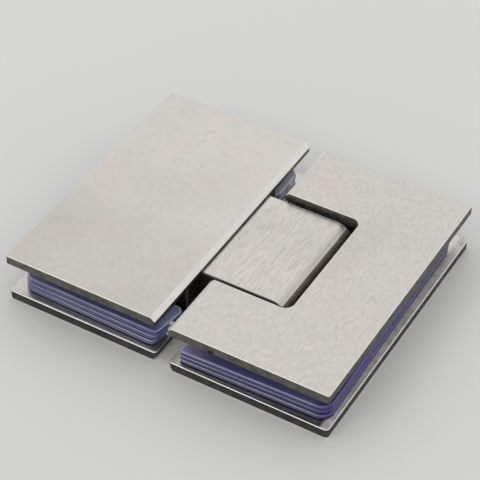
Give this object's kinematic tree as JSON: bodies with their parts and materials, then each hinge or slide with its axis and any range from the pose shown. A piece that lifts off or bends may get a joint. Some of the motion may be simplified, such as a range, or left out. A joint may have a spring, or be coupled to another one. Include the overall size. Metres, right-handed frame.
{
  "type": "glass door hinge",
  "caption": "Glass-to-glass door hinge with clamping plates, gasketed slots for the glass and a sprung pivot block in a notch, which holds the door straight or square.",
  "frame": {"origin": "centre of the plates' outline, on the outer faces of the back plates", "axes": "+X from the fixed side to the door side, +Y along the pivot pin, +Z through the glass from the back plates to the front plates"},
  "size_m": [0.1072, 0.0908, 0.017],
  "materials": {
    "plate": "brushed along the pin",
    "block": "brushed along the pin",
    "pin_steel": "ground",
    "screws": "plain",
    "spring": "drawn wire",
    "bush": "moulded",
    "gasket": "translucent sheet"
  },
  "bodies": {
    "fixed_side": {"fixed_front_plate": "plate", "fixed_back_plate": "plate", "pivot_block": "block", "fixed_gasket_1": "gasket", "fixed_gasket_2": "gasket", "fixed_gasket_3": "gasket", "fixed_screws": "screws", "fixed_sleeves": "screws", "bush_front": "bush", "bush_back": "bush", "spring_plugs": "screws", "spring_front": "spring", "spring_back": "spring"},
    "door_side": {"door_front_plate": "plate", "door_back_plate": "plate", "pin_fork": "block", "pivot_pin": "pin_steel", "door_gasket_1": "gasket", "door_gasket_2": "gasket", "door_gasket_3": "gasket", "door_screws": "screws", "door_sleeves": "screws", "pin_grub_screws": "screws"},
    "plunger_front": {"plunger_front": "pin_steel"},
    "plunger_back": {"plunger_back": "pin_steel"}
  },
  "joints": [
    {"name": "door_swing", "type": "hinge", "parent": "fixed_side", "child": "door_side", "pos_m": [0.0206, 0, 0.0085], "axis": [0, 1, 0], "range_deg": [-90, 90]},
    {"name": "plunger_front_slide", "type": "slide", "parent": "fixed_side", "child": "plunger_front", "axis": [-1, 0, 0], "range_m": [0, 0.0009], "stiffness_N_per_m": 5000, "springref_m": -0.003, "deforming": ["spring_front"]},
    {"name": "plunger_back_slide", "type": "slide", "parent": "fixed_side", "child": "plunger_back", "axis": [-1, 0, 0], "range_m": [0, 0.0009], "stiffness_N_per_m": 5000, "springref_m": -0.003, "deforming": ["spring_back"]}
  ]
}
